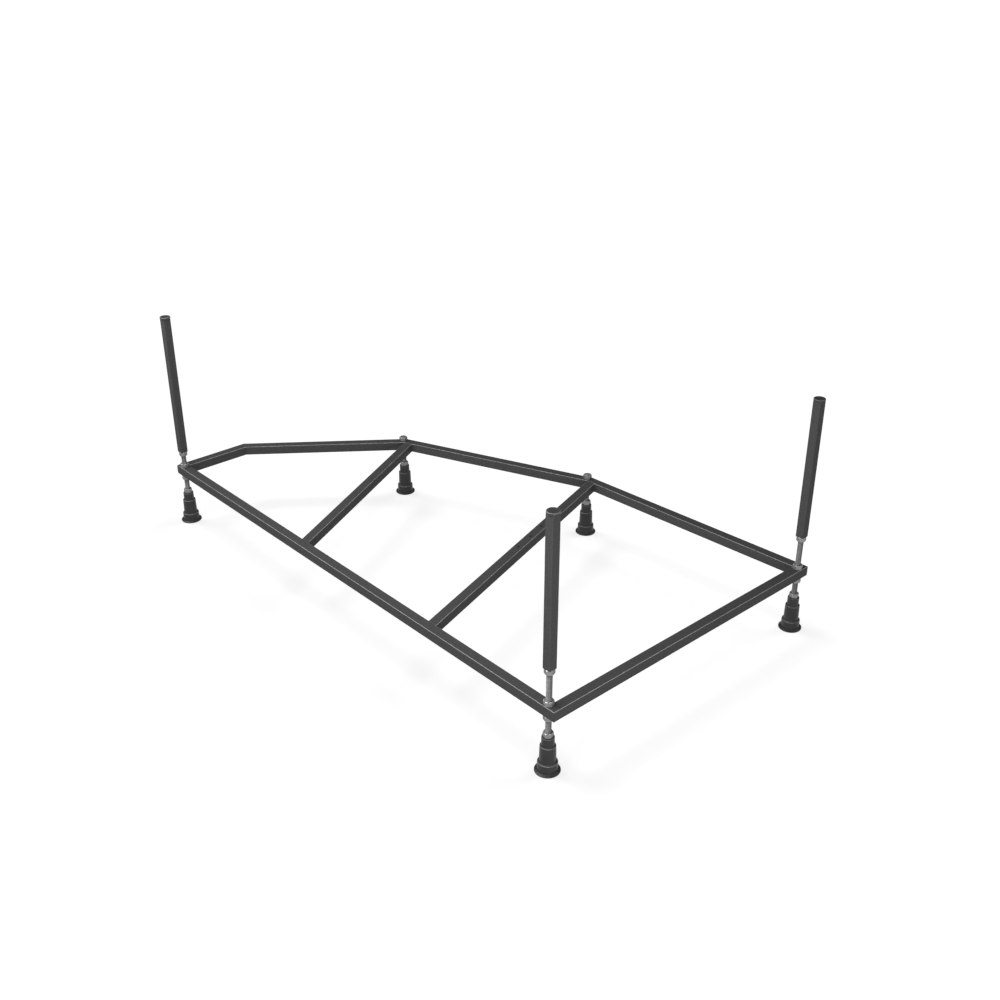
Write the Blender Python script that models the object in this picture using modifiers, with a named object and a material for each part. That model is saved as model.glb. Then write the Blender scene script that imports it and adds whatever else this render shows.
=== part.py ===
"""Support frame with levelling legs and rim posts for an asymmetric corner bath.

Metres, +Z up.  The origin is on the floor, under the middle of the frame's
footprint.  +X runs along the long bar towards the front corner, +Y runs from
the long bar towards the back bars.
"""
import math

import bmesh
import bpy
from mathutils import Matrix, Vector

COLLECTION = "bath_support_frame"

# Plan of the frame: outer corners, measured from the front corner.
CORNER_FRONT = (0.000, 0.000)
CORNER_RIGHT = (0.000, 0.751)
CORNER_BACK_RIGHT = (-0.602, 0.7165)
CORNER_BACK_LEFT = (-1.083, 0.5205)
CORNER_SHORT = (-1.3405, 0.190)
CORNER_LEFT = (-1.3405, 0.000)
PLAN_CENTRE = (-0.6645, 0.3686)

# Leg axes, measured from the front corner.
LEG_AXES = {
    "front": (-0.0234, 0.0100),
    "left": (-1.3190, 0.0100),
    "right": (-0.0100, 0.7272),
    "back_right": (-0.6064, 0.7044),
    "back_left": (-1.0805, 0.5088),
}
POST_CORNERS = ("front", "left", "right")

# Square tube of the frame.
TUBE = 0.022
WALL = 0.0015
CORNER_RADIUS = 0.001
JOINT_GAP = 0.0003
FRAME_TOP = 0.147
FRAME_BOTTOM = FRAME_TOP - TUBE

# Cross bars: point on the centreline at the long bar's outer edge, and heading.
CROSS_LEFT_START = (-0.7946, 0.000)
CROSS_LEFT_HEADING = math.radians(117.51)
CROSS_RIGHT_START = (-0.3562, 0.000)
CROSS_RIGHT_HEADING = math.radians(108.28)
SCREW_HOLE_D = 0.0054
SCREW_HOLE_FIRST = 0.3717
SCREW_HOLE_PITCH = 0.0537
SCREW_HOLE_COUNT = 3

# Threaded rod and nuts, M12 with a 1.75 mm pitch.
ROD_D = 0.0118
ROD_BORE = 0.0126
ROD_HOLE = 0.0130
ROD_BOTTOM = 0.030
POST_ROD_LENGTH = 0.250
SHORT_ROD_LENGTH = 0.1285
NUT_FLATS = 0.018
NUT_HEIGHT = 0.010

# Stepped foot.
FOOT_HEIGHT = 0.077
FOOT_BORE_BOTTOM = 0.008

# Posts.
POST = 0.018
POST_TOP = 0.530
POST_BOTTOM = {"front": 0.225, "left": 0.189, "right": 0.225}
CAP_D = 0.0244
CAP_THICKNESS = 0.0047
CAP_PLUG_D = 0.0143
CAP_PLUG_LENGTH = 0.018

ROUND_STEPS = 24
NUT_TURN = math.radians(15.0)

COATED_STEEL = ("coated_steel", (0.075, 0.077, 0.082, 1.0), 0.45, 0.0)
ZINC_STEEL = ("zinc_steel", (0.48, 0.49, 0.50, 1.0), 0.32, 1.0)
FOOT_PLASTIC = ("foot_plastic", (0.030, 0.030, 0.032, 1.0), 0.50, 0.0)
CAP_PLASTIC = ("cap_plastic", (0.036, 0.037, 0.040, 1.0), 0.42, 0.0)


def clear_scene():
    for obj in list(bpy.data.objects):
        bpy.data.objects.remove(obj, do_unlink=True)


def new_collection(name):
    collection = bpy.data.collections.new(name)
    bpy.context.scene.collection.children.link(collection)
    return collection


def principled(label, look):
    kind, colour, roughness, metallic = look
    material = bpy.data.materials.new(f"{label}_{kind}")
    material.use_nodes = True
    shader = material.node_tree.nodes["Principled BSDF"]
    shader.inputs["Base Color"].default_value = colour
    shader.inputs["Roughness"].default_value = roughness
    shader.inputs["Metallic"].default_value = metallic
    material.diffuse_color = colour
    return material


def add_object(name, mesh, look, parent=None):
    obj = bpy.data.objects.new(name, mesh)
    PARTS.objects.link(obj)
    obj.data.materials.clear()
    obj.data.materials.append(principled(name, look))
    if parent is not None:
        obj.parent = parent
    return obj


def add_cutter(name, mesh):
    obj = bpy.data.objects.new(name, mesh)
    CUTTERS.objects.link(obj)
    obj.hide_render = True
    obj.display_type = "WIRE"
    return obj


def subtract(obj, cutter):
    cut = obj.modifiers.new(f"cut_{cutter.name}", "BOOLEAN")
    cut.operation = "DIFFERENCE"
    cut.solver = "EXACT"
    cut.object = cutter


def from_front(point):
    """Plan point measured from the front corner, moved to the object's frame."""
    return Vector((point[0] - PLAN_CENTRE[0], point[1] - PLAN_CENTRE[1]))


def outward_normal(start, end):
    """Outer side of a perimeter bar that runs anticlockwise from start to end."""
    along = (Vector(end) - Vector(start)).normalized()
    return Vector((along.y, -along.x))


def block_mesh(name, size, centre):
    mesh = bpy.data.meshes.new(name)
    bm = bmesh.new()
    place = Matrix.Translation(centre) @ Matrix.Diagonal((*size, 1.0))
    bmesh.ops.create_cube(bm, size=1.0, matrix=place)
    bm.to_mesh(mesh)
    bm.free()
    return mesh


def cylinder_mesh(name, diameter, bottom, top, steps=ROUND_STEPS, turn=0.0):
    mesh = bpy.data.meshes.new(name)
    bm = bmesh.new()
    place = Matrix.Translation((0.0, 0.0, (bottom + top) / 2.0)) @ Matrix.Rotation(turn, 4, "Z")
    bmesh.ops.create_cone(
        bm,
        cap_ends=True,
        segments=steps,
        radius1=diameter / 2.0,
        radius2=diameter / 2.0,
        depth=top - bottom,
        matrix=place,
    )
    bm.to_mesh(mesh)
    bm.free()
    return mesh


def turned_object(name, profile, look, location, steps=ROUND_STEPS, parent=None):
    """Solid of revolution from (radius, height) points, listed from inside the
    top, down the outer side, to the bottom."""
    mesh = bpy.data.meshes.new(name)
    bm = bmesh.new()
    points = [bm.verts.new((radius, 0.0, height)) for radius, height in profile]
    for first, second in zip(points, points[1:]):
        bm.edges.new((first, second))
    bm.to_mesh(mesh)
    bm.free()
    obj = add_object(name, mesh, look, parent)
    obj.location = location
    screw = obj.modifiers.new("turn", "SCREW")
    screw.axis = "Z"
    screw.steps = steps
    screw.render_steps = steps
    screw.use_merge_vertices = True
    screw.merge_threshold = 0.00005
    screw.use_smooth_shade = True
    screw.use_normal_calculate = False
    return obj


def rounded_bar_mesh(name, width, length, overrun):
    """Square bar along local X with its four long edges rounded."""
    mesh = bpy.data.meshes.new(name)
    bm = bmesh.new()
    size = (length + 2.0 * overrun, width, width)
    place = Matrix.Translation((length / 2.0, 0.0, 0.0)) @ Matrix.Diagonal((*size, 1.0))
    bmesh.ops.create_cube(bm, size=1.0, matrix=place)
    long_edges = [
        edge
        for edge in bm.edges
        if abs(edge.verts[0].co.x - edge.verts[1].co.x) > length / 2.0
    ]
    bmesh.ops.bevel(
        bm,
        geom=long_edges,
        offset=CORNER_RADIUS,
        segments=3,
        profile=0.5,
        affect="EDGES",
    )
    return mesh, bm


def trim(bm, point, normal):
    """Cut away what lies beyond a plane and close the end with one flat face."""
    everything = bm.verts[:] + bm.edges[:] + bm.faces[:]
    result = bmesh.ops.bisect_plane(
        bm,
        geom=everything,
        dist=0.000001,
        plane_co=point,
        plane_no=normal,
        clear_outer=True,
    )
    rim = [item for item in result["geom_cut"] if isinstance(item, bmesh.types.BMEdge)]
    open_rim = [edge for edge in rim if edge.is_boundary]
    if open_rim:
        bmesh.ops.edgenet_fill(bm, edges=open_rim)


def frame_bar(name, start, end, cuts):
    """Hollow square tube from start to end (centreline, plan), trimmed by planes.

    Each cut is (plan point, plan normal); what lies on the normal's side goes.
    """
    start = Vector(start)
    end = Vector(end)
    along = (end - start).normalized()
    length = (end - start).length
    heading = math.atan2(along.y, along.x)
    to_local = Matrix.Rotation(-heading, 2)
    mesh, bm = rounded_bar_mesh(name, TUBE, length, overrun=0.045)
    for point, normal in cuts:
        local_point = to_local @ (Vector(point) - start)
        local_normal = to_local @ Vector(normal)
        trim(bm, (*local_point, 0.0), (*local_normal, 0.0))
    bmesh.ops.recalc_face_normals(bm, faces=bm.faces)
    bm.to_mesh(mesh)
    bm.free()
    mesh.shade_smooth()
    mesh.set_sharp_from_angle(angle=math.radians(32.0))
    obj = add_object(name, mesh, COATED_STEEL)
    height = (FRAME_TOP + FRAME_BOTTOM) / 2.0
    obj.location = (start.x, start.y, height)
    obj.rotation_euler = (0.0, 0.0, heading)
    inner = TUBE - 2.0 * WALL
    cavity = add_cutter(
        f"{name}_cavity",
        block_mesh(f"{name}_cavity", (length + 0.2, inner, inner), (length / 2.0, 0.0, 0.0)),
    )
    cavity.location = obj.location
    cavity.rotation_euler = obj.rotation_euler
    subtract(obj, cavity)
    return obj


def drill(obj, name, plan_point, diameter, bottom, top, steps=ROUND_STEPS):
    cutter = add_cutter(name, cylinder_mesh(name, diameter, bottom, top, steps))
    cutter.location = (plan_point[0], plan_point[1], 0.0)
    subtract(obj, cutter)


def mitre_plane(before, corner, after, side):
    """Plane of the mitre at a corner; side picks which bar is being trimmed."""
    first = (Vector(corner) - Vector(before)).normalized()
    second = (Vector(after) - Vector(corner)).normalized()
    across = (first + second).normalized()
    gap = across * (JOINT_GAP / 2.0)
    if side == "end":
        return Vector(corner) - gap, across
    return Vector(corner) + gap, -across


def build_perimeter():
    corners = [
        from_front(corner)
        for corner in (
            CORNER_LEFT,
            CORNER_FRONT,
            CORNER_RIGHT,
            CORNER_BACK_RIGHT,
            CORNER_BACK_LEFT,
            CORNER_SHORT,
        )
    ]
    names = (
        "long_bar",
        "wide_end_bar",
        "back_bar_right",
        "back_bar_middle",
        "back_bar_left",
        "narrow_end_bar",
    )
    bars = {}
    count = len(corners)
    for index, name in enumerate(names):
        before = corners[index - 1]
        start = corners[index]
        end = corners[(index + 1) % count]
        after = corners[(index + 2) % count]
        inset = outward_normal(start, end) * (-TUBE / 2.0)
        cuts = (
            mitre_plane(before, start, end, "start"),
            mitre_plane(start, end, after, "end"),
        )
        bars[name] = frame_bar(name, start + inset, end + inset, cuts)
    return corners, bars


def inner_face(start, end):
    """Plane along a perimeter bar's inner wall, one joint gap clear of it."""
    outward = outward_normal(start, end)
    return start - outward * (TUBE + JOINT_GAP), outward


def build_cross_bars(corners):
    left, front, right, back_right, back_left, short = corners
    near = inner_face(left, front)
    bars = {}
    runs = (
        (
            "cross_bar_left",
            CROSS_LEFT_START,
            CROSS_LEFT_HEADING,
            0.600,
            (near, inner_face(back_right, back_left), inner_face(back_left, short)),
        ),
        (
            "cross_bar_right",
            CROSS_RIGHT_START,
            CROSS_RIGHT_HEADING,
            0.760,
            (near, inner_face(right, back_right), inner_face(back_right, back_left)),
        ),
    )
    for name, start, heading, length, cuts in runs:
        start = from_front(start)
        along = Vector((math.cos(heading), math.sin(heading)))
        bars[name] = frame_bar(name, start, start + along * length, cuts)
    return bars


def drill_frame(bars):
    holes = (
        ("front", ("long_bar", "wide_end_bar")),
        ("left", ("long_bar",)),
        ("right", ("wide_end_bar",)),
        ("back_right", ("back_bar_right", "back_bar_middle")),
        ("back_left", ("back_bar_middle", "back_bar_left")),
    )
    for leg, names in holes:
        axis = from_front(LEG_AXES[leg])
        for bar in names:
            drill(
                bars[bar],
                f"{bar}_{leg}_rod_hole",
                axis,
                ROD_HOLE,
                FRAME_BOTTOM - 0.01,
                FRAME_TOP + 0.01,
            )
    start = from_front(CROSS_RIGHT_START)
    along = Vector((math.cos(CROSS_RIGHT_HEADING), math.sin(CROSS_RIGHT_HEADING)))
    for index in range(SCREW_HOLE_COUNT):
        place = start + along * (SCREW_HOLE_FIRST + index * SCREW_HOLE_PITCH)
        drill(
            bars["cross_bar_right"],
            f"screw_hole_{index + 1}",
            place,
            SCREW_HOLE_D,
            FRAME_TOP - 0.006,
            FRAME_TOP + 0.006,
            steps=12,
        )


def hex_nut(name, bottom, parent):
    across_corners = NUT_FLATS / math.cos(math.radians(30.0))
    mesh = cylinder_mesh(name, across_corners, 0.0, NUT_HEIGHT, steps=6, turn=NUT_TURN)
    nut = add_object(name, mesh, ZINC_STEEL, parent)
    nut.location = (0.0, 0.0, bottom)
    cutter = add_cutter(
        f"{name}_bore",
        cylinder_mesh(f"{name}_bore", ROD_BORE, -0.005, NUT_HEIGHT + 0.005),
    )
    cutter.parent = parent
    cutter.location = nut.location
    subtract(nut, cutter)
    return nut


def threaded_rod(name, bottom, length, parent):
    radius = ROD_D / 2.0
    point = 0.0012
    profile = (
        (0.0, length),
        (radius - point, length),
        (radius, length - point),
        (radius, point),
        (radius - point, 0.0),
        (0.0, 0.0),
    )
    return turned_object(name, profile, ZINC_STEEL, (0.0, 0.0, bottom), parent=parent)


def stepped_foot(name, parent):
    bore = ROD_BORE / 2.0
    profile = (
        (0.0, FOOT_BORE_BOTTOM),
        (bore, FOOT_BORE_BOTTOM),
        (bore, FOOT_HEIGHT),
        (0.0115, FOOT_HEIGHT),
        (0.0123, FOOT_HEIGHT - 0.0008),
        (0.0125, 0.0582),
        (0.0143, 0.0580),
        (0.0153, 0.0570),
        (0.0160, 0.0221),
        (0.0184, 0.0218),
        (0.0193, 0.0208),
        (0.0196, 0.0044),
        (0.0238, 0.0033),
        (0.0246, 0.0024),
        (0.0246, 0.0006),
        (0.0240, 0.0),
        (0.0180, 0.0),
        (0.0180, 0.0030),
        (0.0, 0.0030),
    )
    return turned_object(name, profile, FOOT_PLASTIC, (0.0, 0.0, 0.0), parent=parent)


def post_tube(name, bottom, top, parent):
    length = top - bottom
    mesh, bm = rounded_bar_mesh(name, POST, length, overrun=0.0)
    bm.to_mesh(mesh)
    bm.free()
    mesh.shade_smooth()
    mesh.set_sharp_from_angle(angle=math.radians(32.0))
    tube = add_object(name, mesh, COATED_STEEL, parent)
    tube.location = (0.0, 0.0, bottom)
    tube.rotation_euler = (0.0, -math.pi / 2.0, 0.0)
    inner = POST - 2.0 * WALL
    cavity = add_cutter(
        f"{name}_cavity",
        block_mesh(f"{name}_cavity", (length + 0.1, inner, inner), (length / 2.0, 0.0, 0.0)),
    )
    cavity.parent = parent
    cavity.location = tube.location
    cavity.rotation_euler = tube.rotation_euler
    subtract(tube, cavity)
    return tube


def post_cap(name, seat, parent):
    radius = CAP_D / 2.0
    plug = CAP_PLUG_D / 2.0
    top = CAP_THICKNESS
    profile = (
        (0.0, top),
        (radius - 0.0012, top),
        (radius - 0.0003, top - 0.0004),
        (radius, top - 0.0012),
        (radius, 0.0004),
        (radius - 0.0004, 0.0),
        (plug, 0.0),
        (plug, 0.001 - CAP_PLUG_LENGTH),
        (plug - 0.001, -CAP_PLUG_LENGTH),
        (0.0, -CAP_PLUG_LENGTH),
    )
    return turned_object(name, profile, CAP_PLASTIC, (0.0, 0.0, seat), parent=parent)


def build_legs():
    for leg, axis in LEG_AXES.items():
        plan = from_front(axis)
        centre = bpy.data.objects.new(f"{leg}_leg_axis", None)
        PARTS.objects.link(centre)
        centre.location = (plan.x, plan.y, 0.0)
        stepped_foot(f"{leg}_foot", centre)
        hex_nut(f"{leg}_foot_nut", FOOT_HEIGHT + JOINT_GAP, centre)
        hex_nut(f"{leg}_lower_nut", FRAME_BOTTOM - NUT_HEIGHT - JOINT_GAP, centre)
        hex_nut(f"{leg}_upper_nut", FRAME_TOP + JOINT_GAP, centre)
        length = POST_ROD_LENGTH if leg in POST_CORNERS else SHORT_ROD_LENGTH
        threaded_rod(f"{leg}_rod", ROD_BOTTOM, length, centre)
        if leg in POST_CORNERS:
            bottom = POST_BOTTOM[leg]
            post_tube(f"{leg}_post", bottom, POST_TOP, centre)
            hex_nut(f"{leg}_post_nut", bottom - NUT_HEIGHT - JOINT_GAP, centre)
            post_cap(f"{leg}_post_cap", POST_TOP + JOINT_GAP, centre)


clear_scene()
PARTS = new_collection(COLLECTION)
CUTTERS = new_collection("cutters")
OUTER_CORNERS, FRAME_BARS = build_perimeter()
FRAME_BARS.update(build_cross_bars(OUTER_CORNERS))
drill_frame(FRAME_BARS)
build_legs()
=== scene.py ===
"""Support frame for an asymmetric corner bath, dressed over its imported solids.

Coated square tube, welded at its corners, stands on five levelling legs.  Each
leg is a threaded rod with hex nuts and a stepped plastic foot; three legs also
carry a capped post up to the bath's rim.  Metres, +Z up.
"""
import math
import bpy
from mathutils import Matrix, Vector


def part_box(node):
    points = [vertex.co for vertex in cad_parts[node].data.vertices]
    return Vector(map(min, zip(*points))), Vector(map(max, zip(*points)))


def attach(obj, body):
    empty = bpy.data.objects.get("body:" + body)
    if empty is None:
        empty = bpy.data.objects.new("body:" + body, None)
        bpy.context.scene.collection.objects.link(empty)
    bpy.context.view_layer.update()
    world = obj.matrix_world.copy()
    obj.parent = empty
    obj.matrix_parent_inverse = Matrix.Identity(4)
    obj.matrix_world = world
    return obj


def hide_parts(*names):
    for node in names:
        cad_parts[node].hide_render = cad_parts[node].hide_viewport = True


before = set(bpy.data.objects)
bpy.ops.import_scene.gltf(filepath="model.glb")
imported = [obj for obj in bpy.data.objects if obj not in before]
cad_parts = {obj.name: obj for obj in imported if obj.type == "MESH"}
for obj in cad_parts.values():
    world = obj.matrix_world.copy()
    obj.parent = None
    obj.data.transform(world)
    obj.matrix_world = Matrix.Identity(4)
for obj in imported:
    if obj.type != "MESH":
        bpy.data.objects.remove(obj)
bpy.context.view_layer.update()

LEGS = ("front", "left", "right", "back_right", "back_left")
POST_LEGS = ("front", "left", "right")
PERIMETER = (
    "long_bar",
    "wide_end_bar",
    "back_bar_right",
    "back_bar_middle",
    "back_bar_left",
    "narrow_end_bar",
)
# Perimeter bars by their place in PERIMETER: the long side, and the two back
# bars whose inner walls each cross bar is cut to.
LONG_SIDE = 0
CROSS_BAR_WALLS = {"cross_bar_left": (3, 4), "cross_bar_right": (2, 3)}
UP = Vector((0.0, 0.0, 1.0))

# Square tube.
TUBE_CORNER = 0.001
TUBE_WALL = 0.0015
ROD_HOLE = 0.0130
SCREW_HOLE = 0.0054
SCREW_HOLE_FIRST = 0.3717
SCREW_HOLE_PITCH = 0.0537
SCREW_HOLE_COUNT = 3

# M12 thread and nuts.
PITCH = 0.00175
THREAD_DEPTH = 0.00095
ROD_CHAMFER = 0.0009
NUT_FLATS = 0.018
NUT_BORE = 0.0121
NUT_TURN = math.radians(15.0)
NUT_WASHER_SHARE = 0.985
NUT_COUNTERSINK = 0.0008
NUT_EDGE_ROUND = 0.00025

# Face attribute read by the finishes: how much of the painted edge highlight each face of a
# rounded edge gets.
HIGHLIGHT_SHARE = "painted_highlight_share"


# ---------------------------------------------------------------- modelling


def deselect():
    bpy.ops.object.select_all(action="DESELECT")


def only(piece):
    deselect()
    piece.select_set(True)
    bpy.context.view_layer.objects.active = piece


def new_piece(name):
    """Name the primitive just added and put its place into its mesh."""
    piece = bpy.context.active_object
    piece.name = name
    piece.data.name = name
    only(piece)
    bpy.ops.object.transform_apply(location=True, rotation=True, scale=True)
    return piece


def open_with(piece, faces=None, edges=None):
    """Open edit mode with just the faces, or edges, that pass a test."""
    only(piece)
    mesh = piece.data
    for parts in (mesh.vertices, mesh.edges, mesh.polygons):
        parts.foreach_set("select", [False] * len(parts))
    bpy.context.tool_settings.mesh_select_mode = (False, edges is not None, faces is not None)
    if faces is not None:
        for face in mesh.polygons:
            face.select = faces(face)
    if edges is not None:
        for edge in mesh.edges:
            first, second = (mesh.vertices[i].co for i in edge.vertices)
            edge.select = edges(first, second)
    bpy.ops.object.mode_set(mode="EDIT")


def open_all(piece):
    only(piece)
    bpy.context.tool_settings.mesh_select_mode = (True, False, False)
    bpy.ops.object.mode_set(mode="EDIT")
    bpy.ops.mesh.select_all(action="SELECT")


def close():
    bpy.ops.object.mode_set(mode="OBJECT")


def apply_modifier(piece, kind, **settings):
    only(piece)
    modifier = piece.modifiers.new(kind.lower(), kind)
    for key, value in settings.items():
        setattr(modifier, key, value)
    bpy.ops.object.modifier_apply(modifier=modifier.name)


def combine(piece, tool, operation):
    """Boolean of a piece with a tool, which is used up."""
    apply_modifier(piece, "BOOLEAN", object=tool, operation=operation, solver="EXACT")
    bpy.data.objects.remove(tool, do_unlink=True)


def trim(piece, point, normal):
    """Saw off what lies beyond a plane and close the end."""
    open_all(piece)
    bpy.ops.mesh.bisect(
        plane_co=point, plane_no=normal, use_fill=True, clear_outer=True, threshold=0.000001
    )
    close()


def soften(piece, width, segments, angle):
    """Break every edge sharper than an angle by a small round."""
    apply_modifier(
        piece,
        "BEVEL",
        width=width,
        segments=segments,
        limit_method="ANGLE",
        angle_limit=math.radians(angle),
        use_clamp_overlap=True,
    )


def finish_shading(piece, angle=40.0):
    only(piece)
    bpy.ops.object.shade_smooth_by_angle(angle=math.radians(angle))
    apply_modifier(piece, "WEIGHTED_NORMAL", mode="FACE_AREA", weight=100, keep_sharp=True)


def mark_rounds(piece, upright=0.0, above=0.0):
    """Store on each face how much it belongs to a rounded edge.

    The value is one on a face that leans halfway between its two neighbours.
    Rounds that look up count fully, from a height upwards; rounds between two
    upright faces count by the share given. The finishes lighten these faces as a
    painted highlight, in place of light caught on the rounds.
    """
    mesh = piece.data
    share = mesh.attributes.new(HIGHLIGHT_SHARE, "FLOAT", "FACE")
    for face in mesh.polygons:
        normal = face.normal
        if face.center.z < above:
            continue
        if normal.z > 0.02:
            share.data[face.index].value = 4.0 * normal.z**2 * (normal.x**2 + normal.y**2)
        else:
            share.data[face.index].value = upright * 4.0 * (normal.x * normal.y) ** 2


def face_out(piece):
    open_all(piece)
    bpy.ops.mesh.normals_make_consistent(inside=False)
    close()


def turned(name, rings, sides=64, turn=0.0):
    """Closed round body: a disc drawn out ring by ring, as (radius, height)."""
    radius, height = rings[0]
    deselect()
    bpy.ops.mesh.primitive_circle_add(
        vertices=sides,
        radius=radius,
        fill_type="NGON",
        location=(0.0, 0.0, height),
        rotation=(0.0, 0.0, turn),
    )
    piece = new_piece(name)
    open_with(piece, faces=lambda face: True)
    for next_radius, next_height in rings[1:]:
        bpy.ops.mesh.extrude_region_move(
            TRANSFORM_OT_translate={"value": (0.0, 0.0, next_height - height)}
        )
        scale = next_radius / radius
        bpy.ops.transform.resize(
            value=(scale, scale, 1.0), center_override=(0.0, 0.0, next_height)
        )
        radius, height = next_radius, next_height
    close()
    face_out(piece)
    return piece


def copy_piece(pattern, name, place):
    """A copy with its own mesh, moved in its mesh."""
    piece = pattern.copy()
    piece.data = pattern.data.copy()
    piece.name = name
    piece.data.name = name
    piece.data.transform(place)
    bpy.context.scene.collection.objects.link(piece)
    return piece


def join(name, pieces):
    deselect()
    for piece in pieces:
        piece.select_set(True)
    bpy.context.view_layer.objects.active = pieces[0]
    bpy.ops.object.join()
    pieces[0].name = name
    pieces[0].data.name = name
    return pieces[0]


def dress(piece, material, body, slot, *nodes):
    """Give a finished piece its finish, its body and the solids it stands for."""
    piece.data.materials.clear()
    piece.data.materials.append(material)
    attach(piece, body)
    if nodes:
        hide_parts(*nodes)


# ---------------------------------------------------------------- materials


def noise(tree, coordinates, scale, detail, roughness):
    node = tree.nodes.new("ShaderNodeTexNoise")
    node.inputs["Scale"].default_value = scale
    node.inputs["Detail"].default_value = detail
    node.inputs["Roughness"].default_value = roughness
    tree.links.new(coordinates, node.inputs["Vector"])
    return node.outputs["Fac"]


def remap(tree, value, low, high, to_low, to_high):
    node = tree.nodes.new("ShaderNodeMapRange")
    node.inputs["From Min"].default_value = low
    node.inputs["From Max"].default_value = high
    for key, number in (("To Min", to_low), ("To Max", to_high)):
        if isinstance(number, float):
            node.inputs[key].default_value = number
        else:
            tree.links.new(number, node.inputs[key])
    tree.links.new(value, node.inputs["Value"])
    return node.outputs["Result"]


def maths(tree, operation, first, second):
    node = tree.nodes.new("ShaderNodeMath")
    node.operation = operation
    for socket, value in zip(node.inputs, (first, second)):
        if isinstance(value, float):
            socket.default_value = value
        else:
            tree.links.new(value, socket)
    return node.outputs["Value"]


def new_group(name, inputs, outputs):
    tree = bpy.data.node_groups.new(name, "ShaderNodeTree")
    for label, kind, default in inputs:
        socket = tree.interface.new_socket(label, in_out="INPUT", socket_type=kind)
        if default is not None:
            socket.default_value = default
    for label, kind in outputs:
        tree.interface.new_socket(label, in_out="OUTPUT", socket_type=kind)
    return tree, tree.nodes.new("NodeGroupInput").outputs, tree.nodes.new("NodeGroupOutput").inputs


def grain_group():
    """Fine speckle and orange peel, with slow patches over the surface."""
    tree, given, made = new_group(
        "fine_grain",
        (
            ("Vector", "NodeSocketVector", None),
            ("Speckle Scale", "NodeSocketFloat", 900.0),
            ("Patch Scale", "NodeSocketFloat", 12.0),
        ),
        (("Speckle", "NodeSocketFloat"), ("Patches", "NodeSocketFloat")),
    )
    speckle = tree.nodes.new("ShaderNodeTexNoise")
    speckle.inputs["Detail"].default_value = 3.0
    speckle.inputs["Roughness"].default_value = 0.62
    tree.links.new(given["Vector"], speckle.inputs["Vector"])
    tree.links.new(given["Speckle Scale"], speckle.inputs["Scale"])
    patches = tree.nodes.new("ShaderNodeTexNoise")
    patches.inputs["Detail"].default_value = 4.0
    tree.links.new(given["Vector"], patches.inputs["Vector"])
    tree.links.new(given["Patch Scale"], patches.inputs["Scale"])
    tree.links.new(remap(tree, speckle.outputs["Fac"], 0.28, 0.72, 0.0, 1.0), made["Speckle"])
    tree.links.new(remap(tree, patches.outputs["Fac"], 0.3, 0.7, 0.0, 1.0), made["Patches"])
    return tree


def dust_group():
    """Thin dust that settles on faces that look up."""
    tree, given, made = new_group(
        "settled_dust",
        (("Vector", "NodeSocketVector", None), ("Amount", "NodeSocketFloat", 0.2)),
        (("Mask", "NodeSocketFloat"),),
    )
    normal = tree.nodes.new("ShaderNodeNewGeometry").outputs["Normal"]
    split = tree.nodes.new("ShaderNodeSeparateXYZ")
    tree.links.new(normal, split.inputs["Vector"])
    facing_up = remap(tree, split.outputs["Z"], 0.55, 1.0, 0.0, 1.0)
    cloud = remap(tree, noise(tree, given["Vector"], 60.0, 5.0, 0.6), 0.42, 0.68, 0.0, 1.0)
    mask = maths(tree, "MULTIPLY", facing_up, cloud)
    tree.links.new(maths(tree, "MULTIPLY", mask, given["Amount"]), made["Mask"])
    return tree


def painted_edge_highlight_group():
    """Painted highlight: a lighter line over rounded edges, broken up by noise."""
    tree, given, made = new_group(
        "painted_edge_lines",
        (("Vector", "NodeSocketVector", None), ("Amount", "NodeSocketFloat", 0.5)),
        (("Mask", "NodeSocketFloat"),),
    )
    edge = tree.nodes.new("ShaderNodeAttribute")
    edge.attribute_name = HIGHLIGHT_SHARE
    broken = remap(tree, noise(tree, given["Vector"], 140.0, 4.0, 0.6), 0.30, 0.60, 0.75, 1.0)
    mask = maths(tree, "MULTIPLY", edge.outputs["Fac"], broken)
    tree.links.new(maths(tree, "MULTIPLY", mask, given["Amount"]), made["Mask"])
    return tree


GRAIN = grain_group()
DUST = dust_group()
PAINTED_EDGE_HIGHLIGHT = painted_edge_highlight_group()


def new_material(name):
    material = bpy.data.materials.new(name)
    material.use_nodes = True
    tree = material.node_tree
    place = tree.nodes.new("ShaderNodeTexCoord").outputs["Object"]
    return material, tree, tree.nodes["Principled BSDF"], place


def use_group(tree, group, place, **values):
    node = tree.nodes.new("ShaderNodeGroup")
    node.node_tree = group
    tree.links.new(place, node.inputs["Vector"])
    for key, value in values.items():
        node.inputs[key.replace("_", " ")].default_value = value
    return node.outputs


def blend_colours(tree, mask, first, second):
    node = tree.nodes.new("ShaderNodeMix")
    node.data_type = "RGBA"
    tree.links.new(mask, node.inputs["Factor"])
    for label, value in (("A", first), ("B", second)):
        socket = next(s for s in node.inputs if s.name == label and s.type == "RGBA")
        if isinstance(value, tuple):
            socket.default_value = value
        else:
            tree.links.new(value, socket)
    return next(s for s in node.outputs if s.type == "RGBA")


def grey(level):
    return (level, level, level, 1.0)


def fine_bump(tree, shader, grain, strength, distance):
    """Let the speckle stand up a little from the surface."""
    bump = tree.nodes.new("ShaderNodeBump")
    bump.inputs["Strength"].default_value = strength
    bump.inputs["Distance"].default_value = distance
    tree.links.new(grain["Speckle"], bump.inputs["Height"])
    tree.links.new(bump.outputs["Normal"], shader.inputs["Normal"])


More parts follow.
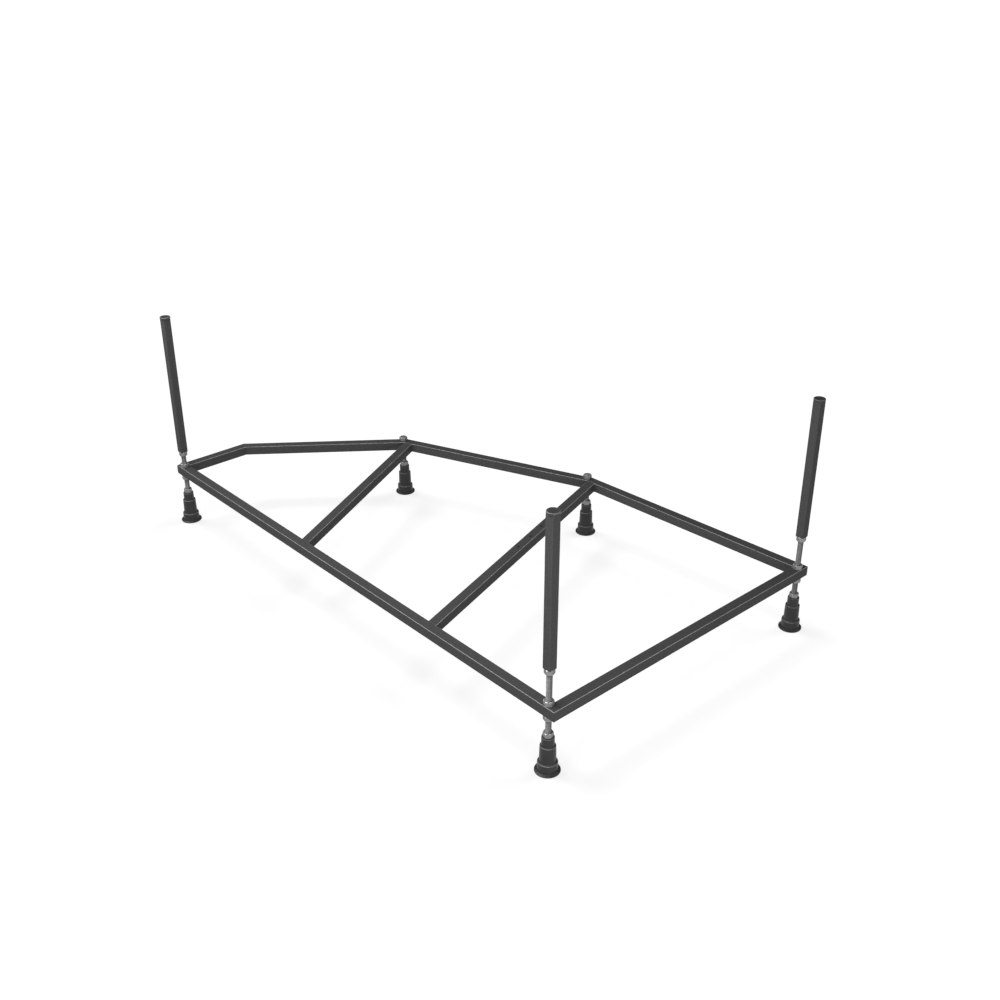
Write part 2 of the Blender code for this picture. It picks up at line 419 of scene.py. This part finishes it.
def coated_steel():
    material, tree, shader, place = new_material("graphite_powder_coat")
    grain = use_group(tree, GRAIN, place, Speckle_Scale=420.0, Patch_Scale=9.0)
    dust = use_group(tree, DUST, place, Amount=0.02)
    highlight_mask = use_group(tree, PAINTED_EDGE_HIGHLIGHT, place, Amount=1.0)
    colour = blend_colours(tree, grain["Speckle"], grey(0.030), grey(0.050))
    colour = blend_colours(tree, dust["Mask"], colour, grey(0.16))
    # Painted highlight: the tubes' rounded top edges are lightened to grey 0.28.
    colour = blend_colours(tree, highlight_mask["Mask"], colour, grey(0.28))
    tree.links.new(colour, shader.inputs["Base Color"])
    shader.inputs["Specular IOR Level"].default_value = 0.012
    tree.links.new(remap(tree, grain["Patches"], 0.0, 1.0, 0.41, 0.45), shader.inputs["Roughness"])
    fine_bump(tree, shader, grain, strength=0.12, distance=0.0002)
    return material


def zinc_steel():
    material, tree, shader, place = new_material("zinc_plate")
    grain = use_group(tree, GRAIN, place, Speckle_Scale=500.0, Patch_Scale=90.0)
    colour = blend_colours(tree, grain["Patches"], grey(0.19), grey(0.25))
    colour = blend_colours(tree, grain["Speckle"], colour, grey(0.23))
    highlight_mask = use_group(tree, PAINTED_EDGE_HIGHLIGHT, place, Amount=1.0)
    # Painted highlight: the nuts' rounded rims are lightened to grey 0.60.
    colour = blend_colours(tree, highlight_mask["Mask"], colour, grey(0.60))
    tree.links.new(colour, shader.inputs["Base Color"])
    shader.inputs["Metallic"].default_value = 1.0
    tree.links.new(remap(tree, grain["Patches"], 0.0, 1.0, 0.62, 0.72), shader.inputs["Roughness"])
    fine_bump(tree, shader, grain, strength=0.08, distance=0.0001)
    return material


def moulded_plastic(name, low, high, rough_low, rough_high, dusty, highlight_amount):
    material, tree, shader, place = new_material(name)
    grain = use_group(tree, GRAIN, place, Speckle_Scale=1100.0, Patch_Scale=35.0)
    dust = use_group(tree, DUST, place, Amount=dusty)
    colour = blend_colours(tree, grain["Patches"], grey(low), grey(high))
    colour = blend_colours(tree, dust["Mask"], colour, grey(0.22))
    highlight_mask = use_group(tree, PAINTED_EDGE_HIGHLIGHT, place, Amount=highlight_amount)
    # Painted highlight: the rounded rims of feet and caps are lightened to grey 0.16.
    colour = blend_colours(tree, highlight_mask["Mask"], colour, grey(0.16))
    tree.links.new(colour, shader.inputs["Base Color"])
    shader.inputs["Specular IOR Level"].default_value = 0.20
    tree.links.new(
        remap(tree, grain["Patches"], 0.0, 1.0, rough_low, rough_high), shader.inputs["Roughness"]
    )
    fine_bump(tree, shader, grain, strength=0.15, distance=0.0001)
    return material


COAT = coated_steel()
ZINC = zinc_steel()
# The last number sets how strongly the painted edge highlight shows.
FOOT_PLASTIC = moulded_plastic("black_foot_plastic", 0.014, 0.020, 0.32, 0.40, 0.03, 0.6)
CAP_PLASTIC = moulded_plastic("black_cap_plastic", 0.022, 0.028, 0.36, 0.42, 0.02, 1.0)


# ---------------------------------------------------------------- frame bars


def flat(vector):
    return Vector((vector[0], vector[1], 0.0))


def bar_line(node):
    """Centre line of a bar's solid: a point, its direction and its two ends."""
    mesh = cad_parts[node].data
    points = [vertex.co for vertex in mesh.vertices]

    def run(edge):
        return flat(points[edge.vertices[1]] - points[edge.vertices[0]])

    def spread(edge):
        across = UP.cross(run(edge).normalized())
        sides = [point.dot(across) for point in points]
        return max(sides) - min(sides)

    longest = sorted(mesh.edges, key=lambda edge: run(edge).length)[-40:]
    along = run(min(longest, key=spread)).normalized()
    across = UP.cross(along)
    low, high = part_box(node)
    sides = [point.dot(across) for point in points]
    reach = [point.dot(along) for point in points]
    middle = across * (min(sides) + max(sides)) / 2.0 + UP * (low.z + high.z) / 2.0
    return middle, along, min(reach), max(reach)


def meet(first, second):
    """Where two centre lines cross."""
    point, along = first[0], first[1]
    other, other_along = second[0], second[1]
    normal = UP.cross(other_along)
    step = (other - point).dot(normal) / along.dot(normal)
    return point + along * step


BAR_LINES = {}
for bar in (*PERIMETER, *CROSS_BAR_WALLS):
    BAR_LINES[bar] = bar_line(bar)
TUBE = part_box("long_bar")[1].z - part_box("long_bar")[0].z
FRAME_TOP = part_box("long_bar")[1].z
FRAME_MIDDLE = FRAME_TOP - TUBE / 2.0
LEG_AXES = {}
for leg in LEGS:
    low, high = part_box(f"{leg}_rod")
    LEG_AXES[leg] = flat((low + high) / 2.0)
CORNERS = [
    meet(BAR_LINES[PERIMETER[i - 1]], BAR_LINES[PERIMETER[i]]) for i in range(len(PERIMETER))
]


def square_tube(name, start, end, width, overrun):
    """Hollow tube with rounded long edges, along the line from start to end."""
    line = end - start
    along = line.normalized()
    deselect()
    bpy.ops.mesh.primitive_cube_add(size=1.0, location=(start + end) / 2.0)
    piece = bpy.context.active_object
    length = line.length + 2.0 * overrun
    if abs(along.z) > 0.5:
        piece.scale = (width, width, length)
    else:
        piece.scale = (length, width, width)
        piece.rotation_euler = (0.0, 0.0, math.atan2(along.y, along.x))
    piece = new_piece(name)
    open_with(piece, edges=lambda a, b: abs((a - b).normalized().dot(along)) > 0.99)
    bpy.ops.mesh.bevel(
        offset=TUBE_CORNER, offset_type="OFFSET", segments=5, profile=0.5, affect="EDGES"
    )
    close()
    open_with(piece, faces=lambda face: abs(face.normal.dot(along)) > 0.99)
    bpy.ops.mesh.delete(type="FACE")
    close()
    apply_modifier(
        piece, "SOLIDIFY", thickness=TUBE_WALL, offset=-1.0, use_even_offset=True, use_rim=True
    )
    return piece


def drill(piece, place, diameter, low, high, sides=32):
    deselect()
    bpy.ops.mesh.primitive_cylinder_add(
        vertices=sides,
        radius=diameter / 2.0,
        depth=high - low,
        location=(place.x, place.y, (low + high) / 2.0),
    )
    combine(piece, new_piece("drill"), "DIFFERENCE")


def crosses(place, start, end, reach):
    """Whether a place lies nearer to the line from start to end than reach."""
    along = (end - start).normalized()
    step = min(max((place - start).dot(along), 0.0), (end - start).length)
    return flat(start + along * step - place).length < reach


def perimeter_bars():
    """The outer tubes, drilled for the rods they hold and mitred at both ends."""
    bars = {}
    count = len(PERIMETER)
    for index, name in enumerate(PERIMETER):
        start = CORNERS[index]
        end = CORNERS[(index + 1) % count]
        before = CORNERS[index - 1]
        after = CORNERS[(index + 2) % count]
        piece = square_tube(f"{name}_tube", start, end, TUBE, overrun=0.04)
        along = (end - start).normalized()
        for leg, axis in LEG_AXES.items():
            if crosses(axis, start, end, (TUBE + ROD_HOLE) / 2.0):
                drill(piece, axis, ROD_HOLE, FRAME_TOP - 2.0 * TUBE, FRAME_TOP + TUBE)
        trim(piece, start, -((start - before).normalized() + along))
        trim(piece, end, along + (after - end).normalized())
        mark_rounds(piece)
        finish_shading(piece)
        bars[name] = piece
    return bars


def inner_wall(index):
    """A point on a perimeter bar's inner wall and the normal into that bar."""
    start = CORNERS[index]
    along = (CORNERS[(index + 1) % len(CORNERS)] - start).normalized()
    inward = UP.cross(along)
    return start + inward * TUBE / 2.0, -inward


def cross_bar(name):
    """Slanting tube cut to the walls it is welded to; one has screw holes."""
    middle, along, low, high = BAR_LINES[name]
    if along.y < 0.0:
        along, low, high = -along, -high, -low
    start, end = middle + along * low, middle + along * high
    piece = square_tube(f"{name}_tube", start, end, TUBE, overrun=0.06)
    for index in (LONG_SIDE, *CROSS_BAR_WALLS[name]):
        trim(piece, *inner_wall(index))
    if name == "cross_bar_right":
        wall, normal = inner_wall(LONG_SIDE)
        edge = wall + normal * TUBE
        first = start + along * ((edge - start).dot(normal) / along.dot(normal))
        for number in range(SCREW_HOLE_COUNT):
            place = first + along * (SCREW_HOLE_FIRST + number * SCREW_HOLE_PITCH)
            drill(piece, place, SCREW_HOLE, FRAME_TOP - 0.006, FRAME_TOP + 0.006, sides=24)
    mark_rounds(piece)
    finish_shading(piece)
    return piece


BARS = perimeter_bars()
for name in CROSS_BAR_WALLS:
    BARS[name] = cross_bar(name)
for name, piece in BARS.items():
    dress(piece, COAT, "frame", "coated_steel", name)


# ---------------------------------------------------------------- rods and nuts


def threaded_rod(name, length):
    """Rod with a cut M12 thread and chamfered ends, standing on z = 0."""
    low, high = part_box("front_rod")
    radius = (high.x - low.x) / 2.0
    root = radius - THREAD_DEPTH
    deselect()
    bpy.ops.mesh.primitive_plane_add(size=1.0)
    piece = new_piece(name)
    outline = (
        (root, 0.0),
        (root, PITCH * 0.20),
        (radius, PITCH * 0.54),
        (radius, PITCH * 0.66),
        (root, PITCH),
    )
    mesh = piece.data
    mesh.clear_geometry()
    mesh.from_pydata(
        [(reach, 0.0, rise) for reach, rise in outline],
        [(i, i + 1) for i in range(len(outline) - 1)],
        [],
    )
    turns = math.ceil(length / PITCH) + 4
    apply_modifier(
        piece,
        "SCREW",
        axis="Z",
        angle=2.0 * math.pi,
        screw_offset=PITCH,
        iterations=turns,
        steps=20,
        render_steps=20,
        use_normal_calculate=False,
    )
    open_all(piece)
    bpy.ops.mesh.remove_doubles(threshold=0.000005)
    bpy.ops.mesh.normals_make_consistent(inside=False)
    close()
    piece.data.transform(Matrix.Translation((0.0, 0.0, -2.0 * PITCH)))
    trim(piece, (0.0, 0.0, 0.0), (0.0, 0.0, -1.0))
    trim(piece, (0.0, 0.0, length), (0.0, 0.0, 1.0))
    face_out(piece)
    tip = radius - ROD_CHAMFER
    past = 0.0002
    over = radius + past
    rise = ROD_CHAMFER + past
    blank = turned(
        "blank",
        ((tip, 0.0), (over, rise), (over, length - rise), (tip, length)),
        sides=48,
    )
    combine(piece, blank, "INTERSECT")
    only(piece)
    bpy.ops.object.shade_smooth_by_angle(angle=math.radians(50.0))
    return piece


def hex_nut(name, height):
    """Chamfered hex nut with a countersunk bore, standing on z = 0."""
    corner = NUT_FLATS / 2.0 / math.cos(math.radians(30.0))
    piece = turned(name, ((corner, 0.0), (corner, height)), sides=6, turn=NUT_TURN)
    washer = NUT_FLATS / 2.0 * NUT_WASHER_SHARE
    over = corner + 0.0003
    drop = (over - washer) * math.tan(math.radians(30.0))
    chamfer = turned(
        "chamfer",
        (
            (washer, 0.0),
            (over, drop),
            (over, height - drop),
            (washer, height),
        ),
        sides=72,
    )
    combine(piece, chamfer, "INTERSECT")
    bore = NUT_BORE / 2.0
    past = 0.0005
    mouth = bore + NUT_COUNTERSINK + past
    drill_bit = turned(
        "drill",
        (
            (mouth, -past),
            (bore, NUT_COUNTERSINK),
            (bore, height - NUT_COUNTERSINK),
            (mouth, height + past),
        ),
        sides=40,
    )
    combine(piece, drill_bit, "DIFFERENCE")
    soften(piece, NUT_EDGE_ROUND, segments=2, angle=20.0)
    mark_rounds(piece)
    finish_shading(piece, 30.0)
    return piece


def standing_on(node):
    """Move that stands a pattern made on z = 0 where a leg's solid stands."""
    low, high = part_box(node)
    return Matrix.Translation(((low.x + high.x) / 2.0, (low.y + high.y) / 2.0, low.z))


ROD_PATTERNS = {}
for leg in LEGS:
    low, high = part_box(f"{leg}_rod")
    length = round(high.z - low.z, 6)
    if length not in ROD_PATTERNS:
        ROD_PATTERNS[length] = threaded_rod(f"rod_pattern_{len(ROD_PATTERNS)}", length)
    piece = copy_piece(ROD_PATTERNS[length], f"{leg}_threaded_rod", standing_on(f"{leg}_rod"))
    dress(piece, ZINC, f"{leg}_rod", "zinc_steel", f"{leg}_rod")

NUT_LOW, NUT_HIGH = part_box("front_upper_nut")
NUT_PATTERN = hex_nut("nut_pattern", NUT_HIGH.z - NUT_LOW.z)
NUTS = []
for leg in LEGS:
    for place in ("foot_nut", "lower_nut", "upper_nut"):
        NUTS.append((f"{leg}_{place}", f"{leg}_{place}"))
    if leg in POST_LEGS:
        NUTS.append((f"{leg}_post_nut", f"{leg}_post"))
for node, body in NUTS:
    piece = copy_piece(NUT_PATTERN, f"{node}_hex", standing_on(node))
    dress(piece, ZINC, body, "zinc_steel", node)


# ---------------------------------------------------------------- feet, posts, caps


def stepped_foot(name):
    """Bell-shaped foot in three tiers with a hollow sole and a blind bore."""
    piece = turned(
        name,
        (
            (0.0180, 0.0030),
            (0.0180, 0.0000),
            (0.0240, 0.0000),
            (0.0246, 0.0006),
            (0.0246, 0.0024),
            (0.0238, 0.0033),
            (0.0201, 0.0044),
            (0.0196, 0.0056),
            (0.0194, 0.0203),
            (0.0191, 0.0213),
            (0.0183, 0.0220),
            (0.0163, 0.0222),
            (0.0160, 0.0228),
            (0.0153, 0.0565),
            (0.0150, 0.0574),
            (0.0143, 0.0580),
            (0.0127, 0.0582),
            (0.0125, 0.0587),
            (0.0123, 0.0760),
            (0.0120, 0.0767),
            (0.0114, 0.0770),
            (0.0063, 0.0770),
            (0.0063, 0.0080),
        ),
        sides=64,
    )
    # Rounded tier edges above 15 mm get the painted edge highlight.
    mark_rounds(piece, above=0.015)
    finish_shading(piece, 40.0)
    return piece


FOOT_PATTERN = stepped_foot("foot_pattern")
for leg in LEGS:
    piece = copy_piece(FOOT_PATTERN, f"{leg}_stepped_foot", standing_on(f"{leg}_foot"))
    dress(piece, FOOT_PLASTIC, f"{leg}_foot", "foot_plastic", f"{leg}_foot")


def post_tube(name, node):
    """Upright tube open at both ends, as long as its solid."""
    low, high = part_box(node)
    middle = (low + high) / 2.0
    start = Vector((middle.x, middle.y, low.z))
    end = Vector((middle.x, middle.y, high.z))
    piece = square_tube(name, start, end, high.x - low.x, overrun=0.0)
    # Top rounds get the painted edge highlight; upright edges get a faint share of it.
    mark_rounds(piece, upright=0.04)
    finish_shading(piece)
    return piece


def post_cap(name):
    """Round disc cap with a plug, its plug's end on z = 0."""
    low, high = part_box("front_post_cap")
    height = high.z - low.z
    radius = (high.x - low.x) / 2.0
    disc = 0.0047
    plug = 0.00715
    under = height - disc
    piece = turned(
        name,
        (
            (plug - 0.001, 0.0),
            (plug, 0.001),
            (plug, under),
            (radius - 0.0004, under),
            (radius, under + 0.0004),
            (radius, height - 0.0012),
            (radius - 0.00035, height - 0.00035),
            (radius - 0.0012, height),
            (radius - 0.0030, height),
        ),
        sides=64,
    )
    mark_rounds(piece)
    finish_shading(piece, 50.0)
    return piece


CAP_PATTERN = post_cap("cap_pattern")
for leg in POST_LEGS:
    tube = post_tube(f"{leg}_post_tube", f"{leg}_post")
    dress(tube, COAT, f"{leg}_post", "coated_steel", f"{leg}_post")
    cap = copy_piece(CAP_PATTERN, f"{leg}_round_cap", standing_on(f"{leg}_post_cap"))
    dress(cap, CAP_PLASTIC, f"{leg}_post_cap", "cap_plastic", f"{leg}_post_cap")

for pattern in [NUT_PATTERN, FOOT_PATTERN, CAP_PATTERN, *ROD_PATTERNS.values()]:
    bpy.data.objects.remove(pattern, do_unlink=True)


# ---------------------------------------------------------------- welds


def bead_pattern(name, height, radius):
    """Upright weld bead with the ripples of its runs."""
    rings = []
    runs = 9
    waist = 0.80
    for number in range(runs):
        low = height * number / runs
        for share, swell in ((0.0, waist), (0.3, 0.98), (0.7, 1.0)):
            rings.append((radius * swell, low + share * height / runs))
    rings.append((radius * waist, height))
    piece = turned(name, rings, sides=14)
    only(piece)
    bpy.ops.object.shade_smooth_by_angle(angle=math.radians(70.0))
    return piece


def wall_lines(name):
    """The two side lines of a cross bar, as points with a direction."""
    middle, along, _, _ = BAR_LINES[name]
    across = UP.cross(along)
    return [(middle + across * TUBE / 2.0 * side, along) for side in (-1.0, 1.0)]


def weld_places():
    """Where two walls meet: inside each corner and beside each cross bar's ends."""
    places = []
    for index in range(len(CORNERS)):
        before = inner_wall(index - 1)
        after = inner_wall(index)
        first = (before[0], UP.cross(before[1]))
        second = (after[0], UP.cross(after[1]))
        places.append(meet(first, second))
    for name, walls in CROSS_BAR_WALLS.items():
        for side in wall_lines(name):
            near, near_normal = inner_wall(LONG_SIDE)
            places.append(meet(side, (near, UP.cross(near_normal))))
            hits = []
            for index in walls:
                wall, normal = inner_wall(index)
                hits.append(meet(side, (wall, UP.cross(normal))))
            places.append(min(hits, key=lambda hit: hit.y))
    return places


BEAD = bead_pattern("bead_pattern", height=TUBE - 2.0 * TUBE_CORNER, radius=0.0011)
BEADS = [
    copy_piece(
        BEAD,
        f"bead_{number}",
        Matrix.Translation((place.x, place.y, FRAME_MIDDLE - TUBE / 2.0 + TUBE_CORNER)),
    )
    for number, place in enumerate(weld_places())
]
bpy.data.objects.remove(BEAD, do_unlink=True)
WELDS = join("corner_weld_beads", BEADS)
dress(WELDS, COAT, "frame", "coated_steel")


# ---------------------------------------------------------------- studio


def studio_floor():
    """Wide white floor with a glow of its own, which keeps the shadows faint."""
    deselect()
    bpy.ops.mesh.primitive_plane_add(size=80.0, location=(0.0, 0.0, 0.0))
    floor = new_piece("studio_floor")
    material = bpy.data.materials.new("white_floor")
    material.use_nodes = True
    shader = material.node_tree.nodes["Principled BSDF"]
    shader.inputs["Base Color"].default_value = (0.80, 0.80, 0.80, 1.0)
    shader.inputs["Roughness"].default_value = 0.9
    shader.inputs["Specular IOR Level"].default_value = 0.0
    shader.inputs["Emission Color"].default_value = (1.0, 1.0, 1.0, 1.0)
    shader.inputs["Emission Strength"].default_value = 0.67
    floor.data.materials.append(material)
    return floor


def soft_sun(name, direction, strength, spread):
    """Large far light: parallel, with a soft edge."""
    light = bpy.data.lights.new(name, "SUN")
    light.energy = strength
    light.angle = math.radians(spread)
    lamp = bpy.data.objects.new(name, light)
    lamp.rotation_mode = "QUATERNION"
    lamp.rotation_quaternion = Vector(direction).to_track_quat("Z", "Y")
    bpy.context.scene.collection.objects.link(lamp)


def soft_box(name, place, target, width, height, power, unlit):
    """Flat lamp near the frame that lights all but the things in a collection."""
    light = bpy.data.lights.new(name, "AREA")
    light.shape = "RECTANGLE"
    light.size = width
    light.size_y = height
    light.energy = power
    lamp = bpy.data.objects.new(name, light)
    lamp.location = place
    lamp.rotation_mode = "QUATERNION"
    aim = Vector(target) - Vector(place)
    lamp.rotation_quaternion = aim.to_track_quat("-Z", "Y")
    lamp.visible_camera = False
    lamp.light_linking.receiver_collection = unlit
    bpy.context.scene.collection.objects.link(lamp)


def studio_world(walls, ceiling):
    """Dim walls under a bright ceiling, which all look white behind the floor."""
    world = bpy.data.worlds.new("studio")
    world.use_nodes = True
    bpy.context.scene.world = world
    tree = world.node_tree
    tree.nodes.clear()
    out = tree.nodes.new("ShaderNodeOutputWorld")
    light = tree.nodes.new("ShaderNodeBackground")
    height = tree.nodes.new("ShaderNodeSeparateXYZ")
    place = tree.nodes.new("ShaderNodeTexCoord").outputs["Generated"]
    tree.links.new(place, height.inputs["Vector"])
    level = remap(tree, height.outputs["Z"], 0.64, 0.90, walls, ceiling)
    tree.links.new(level, light.inputs["Strength"])
    seen = tree.nodes.new("ShaderNodeBackground")
    seen.inputs["Color"].default_value = (1.0, 1.0, 1.0, 1.0)
    mix = tree.nodes.new("ShaderNodeMixShader")
    path = tree.nodes.new("ShaderNodeLightPath")
    tree.links.new(path.outputs["Is Camera Ray"], mix.inputs["Fac"])
    tree.links.new(light.outputs["Background"], mix.inputs[1])
    tree.links.new(seen.outputs["Background"], mix.inputs[2])
    tree.links.new(mix.outputs["Shader"], out.inputs["Surface"])


def studio_camera():
    camera = bpy.data.cameras.new("studio_camera")
    camera.lens = 43.188
    camera.sensor_width = 36.0
    camera.clip_end = 200.0
    holder = bpy.data.objects.new("studio_camera", camera)
    holder.location = (1.8567, -1.5688, 1.4431)
    holder.rotation_mode = "QUATERNION"
    holder.rotation_quaternion = Vector((-0.659632, 0.593785, -0.460765)).to_track_quat("-Z", "Y")
    bpy.context.scene.collection.objects.link(holder)
    bpy.context.scene.camera = holder


# The two soft boxes leave the floor out, so they cast no shadows on it.
UNLIT = bpy.data.collections.new("out_of_the_boxes")
UNLIT.objects.link(studio_floor())
UNLIT.collection_objects[0].light_linking.link_state = "EXCLUDE"
studio_world(walls=0.17, ceiling=0.40)
soft_sun("left_light", (-0.55, -0.14, 1.0), 0.60, 24.0)
soft_sun("back_light", (0.15, 0.72, 1.0), 0.40, 24.0)
soft_box("front_box", (-0.1, -0.95, 1.3), (0.0, 0.0, 0.1), 2.6, 0.7, 44.0, UNLIT)
soft_box("side_box", (1.9, -0.8, 0.35), (0.1, 0.0, 0.15), 1.2, 0.5, 19.0, UNLIT)
studio_camera()
bpy.context.scene.view_settings.view_transform = "Standard"
